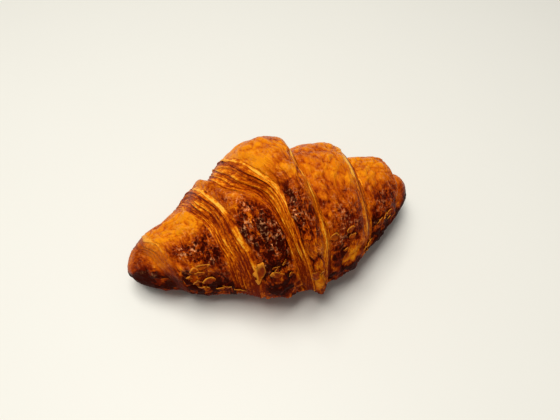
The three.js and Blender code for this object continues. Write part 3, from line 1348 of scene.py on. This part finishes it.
class CrustPattern:
    """The patterns that the crust's colours and bumps are worked out from, sized in millimetres."""

    MOTTLE_SIZE = 6.0
    SPECKLE_SIZE = 0.9
    RIDGE_SIZE = 2.6
    RIDGE_WIDTH = 0.10
    PLATE_SIZE = 4.5
    SWAY_SIZE = 7.0
    SPOT_SIZE = 1.3
    SPOT_ZONE_SIZE = 5.0
    ROUGH = 0.6

    def __init__(self, shader: Shader) -> None:
        """Makes the patterns that more than one of them uses.

        Args:
            shader: the material that they belong to.
        """
        self.shader = shader
        self.place = shader.place()
        self.cut, self.baked = shader.attribute("cut"), shader.attribute("baked")
        self.leaf, self.along = shader.attribute("leaf"), shader.attribute("along")
        self.glaze = shader.attribute("glaze")
        self.mottle = shader.grain(self.place, self.MOTTLE_SIZE, 3.0, self.ROUGH) - 0.5
        self.speckle = shader.grain(self.place, self.SPECKLE_SIZE, 2.0, self.ROUGH)
        self.tatter = shader.scatter(self.place, 0.45, 3.0)
        warped = shader.shifted(self.place, shader.scatter(self.place, 0.3, 1.0), 4.0)
        # The ridges are paler in the skin's colour as painted highlight on their crests, stand out in the
        # bump, and guide the glints.
        self.ridges = (shader.grain(warped, self.RIDGE_SIZE, 1.0) - 0.5).size()
        self.ridges = self.ridges.step_over(self.RIDGE_WIDTH, 0.0)
        lane = shader.attribute("lane")
        plate = shader.vector(lane, 0.3 * self.along, 0.0)
        self.mark = shader.plates(shader.shifted(plate, self.tatter, 4.5), self.PLATE_SIZE)
        beside = lane + 2.5 * shader.grain(self.place, self.SWAY_SIZE, 1.0)
        run = shader.vector(beside / 1.3, self.along / 14.0, 0.0)
        self.pleats = (1.0 - 0.75 * self.baked) * (shader.grain(run, 1.0, 3.0, self.ROUGH) - 0.5)
        wavy = shader.vector(beside / 0.9, self.along / 8.0, 5.0)
        wavy = shader.shifted(wavy, self.tatter, 2.0)
        self.fibres = shader.grain(wavy, 1.0, 1.0).step_over(0.36, 0.64)

    def skin_tone(self) -> Value:
        """Works out how brown the skin looks, painted shade and highlight in its folds included.

        Returns:
            A number from 0, pale, to 1, mahogany.
        """
        # brown brings real browning together with the painted shade and highlight worked out on the mesh.
        tone = self.shader.attribute("brown") + 0.36 * self.mottle + 0.16 * (self.speckle - 0.5)
        tone = tone - (0.10 + 0.16 * self.baked) * (self.fibres - 0.5)
        tone = tone + (0.12 + 0.24 * self.shader.attribute("flaky")) * (self.mark - 0.5)
        # The ridges and pleats are paler where they stand out in the bump: painted highlight on their
        # crests and painted shade in their hollows.
        return (tone - 0.30 * self.baked * (self.ridges - 0.4) - 0.6 * self.pleats).clamp()

    def leaf_tone(self) -> Value:
        """Works out how golden the cut leaves are, in streaks that run along them, with painted shade under
        each leaf's edge.

        Returns:
            A number from 0, dark, to 1, straw.
        """
        shader = self.shader
        place = shader.shifted(shader.vector(self.leaf * 4.3, self.along / 9.0, 3.0), self.tatter, 1.6)
        strands = shader.grain(place, 1.0, 3.0, 0.65)
        # Painted shade at the top of each leaf, under the edge of the one above, and painted highlight
        # along its lifted lower edge.
        leaf_edge_shading = self.leaf.fraction().step_over(0.15, 0.95)
        broken = shader.vector(self.leaf * 2.2, self.along / 4.5, 9.0)
        broken = shader.grain(broken, 1.0).step_over(0.42, 0.62)
        streak = shader.attribute("gold") - 0.22 + 1.2 * (strands - 0.5) + 0.28 * (leaf_edge_shading - 0.5)
        return (streak + 0.7 * (self.speckle - 0.5) + 0.5 * self.mottle + 0.28 * broken).clamp()

    def glint_spots(self) -> Value:
        """Scatters small glints over the glazed ridges, as painted highlight in the base colour with a
        little metal for a real reflection there.

        Returns:
            How strong a glint there is, from 0 to 1.
        """
        spots = self.shader.grain(self.place, self.SPOT_SIZE, 1.0).step_over(0.46, 0.60)
        spots = spots * self.shader.grain(self.place, self.SPOT_ZONE_SIZE, 1.0).step_over(0.42, 0.62)
        ridges = 0.7 * self.shader.attribute("ridge") + 0.3 * self.ridges
        return (1.0 - self.cut) * self.glaze * (0.5 + 0.5 * self.baked) * spots * ridges

    def height(self) -> Value:
        """How far the finest marks stand out."""
        skin = 1.6 * self.pleats + 0.5 * self.mark + 0.35 * self.fibres
        return 0.3 * self.speckle + 0.8 * self.baked * self.ridges + (1.0 - self.cut) * skin


@dataclass(frozen=True)
class CrustFinish:
    """Egg-washed crust: amber to mahogany on the skin, gold and brown streaks on the cut leaves."""

    pale: Colour = light_of(240, 142, 14)
    amber: Colour = light_of(214, 108, 8)
    brown: Colour = light_of(172, 68, 4)
    dark: Colour = light_of(110, 26, 2)
    mahogany: Colour = light_of(52, 6, 1)
    gold: Colour = light_of(248, 158, 30)
    straw: Colour = light_of(252, 180, 62)
    # painted_glint: a painted highlight, the peach colour of the glints.
    painted_glint: Colour = light_of(248, 168, 108)
    roughness: float = 0.64
    glazed: float = 0.34
    shine: float = 0.04
    shine_tint: tuple[float, float, float, float] = (1.0, 0.62, 0.3, 1.0)
    relief: float = 0.4

    def material(self) -> bpy.types.Material:
        """Makes the material.

        Returns:
            The crust's material.
        """
        shader = Shader("crust")
        pattern = CrustPattern(shader)
        skin = shader.ramp(pattern.skin_tone(), (
            (0.0, self.pale), (0.25, self.amber), (0.5, self.brown), (0.75, self.dark),
            (1.0, self.mahogany),
        ))
        leaves = shader.ramp(pattern.leaf_tone(), (
            (0.0, self.dark), (0.3, self.brown), (0.6, self.amber), (0.85, self.gold),
            (1.0, self.straw),
        ))
        glint_spots = pattern.glint_spots()
        colour = shader.mix(pattern.cut, skin, leaves)
        rough = self.roughness + 0.1 * pattern.cut + 0.3 * pattern.mottle - self.glazed * pattern.glaze
        return shader.surface(
            # The glint spots are painted highlight in the base colour, with metallic there for a real
            # reflection.
            Base_Color=shader.mix((1.1 * glint_spots).clamp(), colour, self.painted_glint),
            Metallic=(0.45 * glint_spots).clamp(),
            Roughness=rough.clamp(),
            Specular_IOR_Level=self.shine,
            Specular_Tint=self.shine_tint,
            Normal=shader.bump(pattern.height(), self.relief),
        )


@dataclass(frozen=True)
class FlakeFinish:
    """Dry flakes: brown in the middle, pale along their torn edges."""

    middle: Colour = light_of(178, 80, 6)
    burnt: Colour = light_of(128, 40, 3)
    torn: Colour = light_of(226, 140, 34)

    def material(self) -> bpy.types.Material:
        """Makes the material.

        Returns:
            The flakes' material.
        """
        shader = Shader("flakes")
        place = shader.place()
        grain = shader.grain(place, 1.4, 3.0, 0.6)
        zone = shader.grain(place, 7.0, 1.0)
        colour = shader.mix((zone + 0.8 * (grain - 0.5)).step_over(0.35, 0.65), self.burnt, self.middle)
        rim = (shader.attribute("shade") + 0.2 * (grain - 0.5)).step_over(0.55, 0.95)
        return shader.surface(
            Base_Color=shader.mix(rim, colour, self.torn),
            Roughness=0.5,
            Specular_IOR_Level=0.04,
            Normal=shader.bump(grain, 0.2),
        )


@dataclass(frozen=True)
class FloorFinish:
    """Plain pale board."""

    colour: Colour = light_of(238, 237, 228)

    def material(self) -> bpy.types.Material:
        """Makes the material.

        Returns:
            The floor's material.
        """
        shader = Shader("floor")
        shade = shader.grain(shader.place(), 60.0)
        colour = shader.mix(0.04 * shade, self.colour, (0.6, 0.58, 0.54))
        return shader.surface(Base_Color=colour, Roughness=0.55)


# ---------------------------------------------------------------- the studio


@dataclass(frozen=True)
class Lamp:
    """One square area light that faces the croissant.

    Attributes:
        name: the light's name.
        azimuth: where it hangs, in degrees round, as for the camera.
        elevation: how high it hangs, in degrees.
        away: its distance in metres.
        size: its side in metres.
        watts: its power.
        colour: its colour, as linear light.
    """

    name: str
    azimuth: float
    elevation: float
    away: float
    size: float
    watts: float
    colour: Colour


@dataclass
class Studio:
    """Floor, lights and camera, in metres and degrees."""

    floor_size: float = 3.0
    sensor: float = 36.0
    lens: float = 29.1214
    azimuth: float = -19.3
    elevation: float = 52.2
    distance: float = 0.220
    target: tuple[float, float, float] = (0.0023, 0.0011, 0.0293)
    ambient: float = 0.20
    lamps: tuple[Lamp, ...] = (
        Lamp("key", -150.0, 80.0, 1.1, 0.7, 9.6, (1.0, 0.98, 0.95)),
        Lamp("front", -60.0, 72.0, 1.0, 0.25, 2.1, (1.0, 0.97, 0.94)),
    )

    def direction(self, azimuth: float, elevation: float) -> Vector:
        """The way from the croissant to something that stands at an azimuth and an elevation."""
        a, e = math.radians(azimuth), math.radians(elevation)
        return Vector((math.sin(a) * math.cos(e), -math.cos(a) * math.cos(e), math.sin(e)))

    def lay_floor(self) -> None:
        """Lays the floor that the croissant rests on."""
        grid = bmesh.new()
        bmesh.ops.create_grid(grid, x_segments=1, y_segments=1, size=self.floor_size / 2)
        mesh = bpy.data.meshes.new("floor")
        grid.to_mesh(mesh)
        grid.free()
        floor = bpy.data.objects.new("floor", mesh)
        mesh.materials.append(FloorFinish().material())
        bpy.context.scene.collection.objects.link(floor)

    def hang(self, lamp: Lamp) -> None:
        """Hangs one light.

        Args:
            lamp: which, and where it hangs.
        """
        data = bpy.data.lights.new(lamp.name, "AREA")
        data.size = lamp.size
        data.energy = lamp.watts
        data.color = lamp.colour
        light = bpy.data.objects.new(lamp.name, data)
        way = self.direction(lamp.azimuth, lamp.elevation)
        light.location = way * lamp.away
        light.rotation_euler = way.to_track_quat("Z", "Y").to_euler()
        bpy.context.scene.collection.objects.link(light)

    def light(self) -> None:
        """Lights the scene: a soft key behind on the left, a small lamp in front, and an even fill."""
        world = bpy.data.worlds.new("studio")
        world.use_nodes = True
        background = world.node_tree.nodes["Background"]
        background.inputs["Color"].default_value = (1.0, 0.99, 0.97, 1.0)
        background.inputs["Strength"].default_value = self.ambient
        scene = bpy.context.scene
        scene.world = world
        scene.view_settings.view_transform = "Standard"
        for lamp in self.lamps:
            self.hang(lamp)

    def place_camera(self) -> None:
        """Sets the camera at its viewing angle."""
        data = bpy.data.cameras.new("camera")
        data.sensor_width = self.sensor
        data.lens = self.lens
        data.clip_start = 0.01
        camera = bpy.data.objects.new("camera", data)
        way = self.direction(self.azimuth, self.elevation)
        camera.location = Vector(self.target) + way * self.distance
        camera.rotation_euler = way.to_track_quat("Z", "Y").to_euler()
        bpy.context.scene.collection.objects.link(camera)
        bpy.context.scene.camera = camera


def finish_piece(piece: bpy.types.Object, material: bpy.types.Material) -> None:
    """Gives a piece its material and its body, and reports it.

    Args:
        piece: the finished object.
        material: what it is made of.
    """
    piece.data.materials.append(material)
    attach(piece, BODY)
    faces = sum(len(p.vertices) - 2 for p in piece.data.polygons)
    log.info("%s: %d triangles", piece.name, faces)


def main() -> None:
    """Builds the croissant and the studio round it."""
    logging.basicConfig(level=logging.INFO, format="%(message)s", stream=sys.stdout)
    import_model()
    studio = Studio()
    studio.place_camera()
    studio.lay_floor()
    studio.light()
    crust = Crust(Dough(), RingPlan()).build()
    finish_piece(crust, CrustFinish().material())
    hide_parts(NODE)
    flakes = Flakes(Dough()).build(crust)
    finish_piece(flakes, FlakeFinish().material())


if __name__ == "__main__":
    main()
